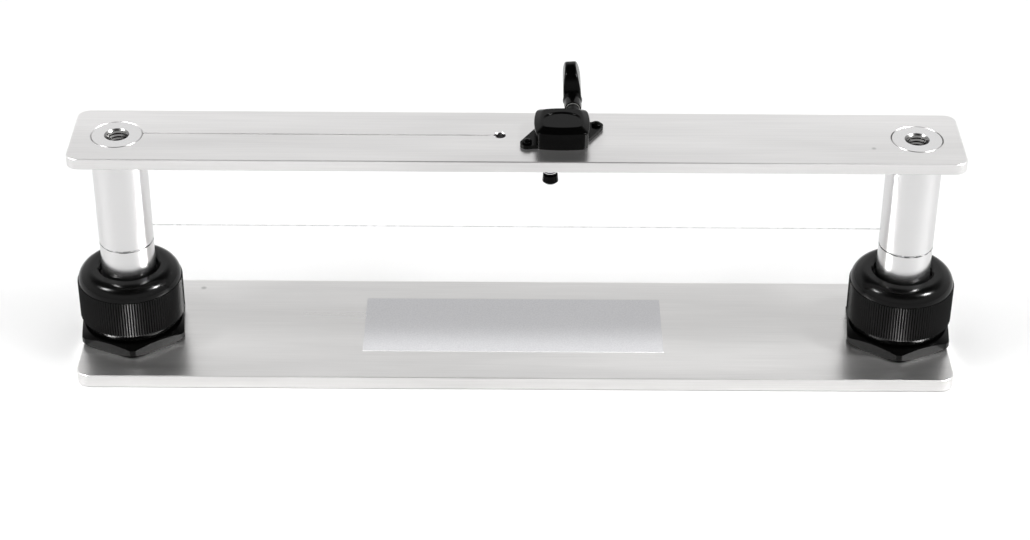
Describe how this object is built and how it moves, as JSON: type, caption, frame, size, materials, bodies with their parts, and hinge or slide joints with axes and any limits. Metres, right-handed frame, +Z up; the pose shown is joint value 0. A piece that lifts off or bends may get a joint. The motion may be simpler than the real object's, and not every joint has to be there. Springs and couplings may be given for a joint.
{
  "type": "clay wire cutter",
  "caption": "Bench clay cutter: a base plate with clamping glands, a sliding bar-and-post frame and a steel wire tightened by a worm-geared machine head.",
  "frame": {"origin": "middle of the base plate's underside", "axes": "+X along both plates towards the machine head's end, +Z up the posts, -Y towards the user"},
  "size_m": [0.3621, 0.0778, 0.1136],
  "materials": {
    "plate_aluminium": "brushed lengthwise",
    "post_aluminium": "turned",
    "nylon": "satin black",
    "seal_rubber": "matte black",
    "string_steel": "drawn wire",
    "ball_brass": "turned",
    "black_case": "gloss black plating",
    "black_screw": "gloss black plating",
    "worm_steel": "machined",
    "washer_plastic": "plain"
  },
  "bodies": {
    "base": {"base_plate": "plate_aluminium", "left_gland_body": "nylon", "right_gland_body": "nylon", "left_gland_seal": "seal_rubber", "right_gland_seal": "seal_rubber"},
    "frame": {"top_bar": "plate_aluminium", "left_post": "post_aluminium", "right_post": "post_aluminium", "cutting_wire": "string_steel", "string_ball": "ball_brass", "tuner_housing": "black_case", "tuner_cover": "black_case", "tuner_screws": "black_screw", "tuner_bushing": "black_case", "bushing_washer": "black_case", "shaft_washer": "washer_plastic"},
    "left_clamp": {"left_clamp_claw": "nylon"},
    "right_clamp": {"right_clamp_claw": "nylon"},
    "left_nut": {"left_gland_nut": "nylon"},
    "right_nut": {"right_gland_nut": "nylon"},
    "button": {"tuner_worm": "worm_steel", "tuner_button": "black_case", "button_screw": "black_screw"},
    "spindle": {"string_post": "black_case", "tuner_gear": "ball_brass", "gear_screw": "black_screw"}
  },
  "joints": [
    {"name": "frame_height", "type": "slide", "parent": "base", "child": "frame", "axis": [0, 0, 1], "range_m": [-0.0105, 0.01]},
    {"name": "left_clamp_rise", "type": "slide", "parent": "base", "child": "left_clamp", "axis": [0, 0, 1], "range_m": [0, 0.0015]},
    {"name": "right_clamp_rise", "type": "slide", "parent": "base", "child": "right_clamp", "axis": [0, 0, 1], "range_m": [0, 0.0015]},
    {"name": "left_nut_turn", "type": "hinge", "parent": "left_clamp", "child": "left_nut", "pos_m": [-0.1591, 0, 0.024], "axis": [0, 0, 1], "range_deg": [0, 360]},
    {"name": "right_nut_turn", "type": "hinge", "parent": "right_clamp", "child": "right_nut", "pos_m": [0.1591, 0, 0.024], "axis": [0, 0, 1], "range_deg": [0, 360]},
    {"name": "button_turn", "type": "hinge", "parent": "frame", "child": "button", "pos_m": [0.0224, 0, 0.1016], "axis": [0, 1, 0], "continuous": true},
    {"name": "string_post_turn", "type": "hinge", "parent": "frame", "child": "spindle", "pos_m": [0.0135, 0, 0.09], "axis": [0, 0, 1], "continuous": true}
  ],
  "couplings": [
    {"joint": "left_clamp_rise", "follows": "left_nut_turn", "m_per_rad": 0.00023873},
    {"joint": "right_clamp_rise", "follows": "right_nut_turn", "m_per_rad": 0.00023873},
    {"joint": "string_post_turn", "follows": "button_turn", "ratio": -0.066667}
  ]
}
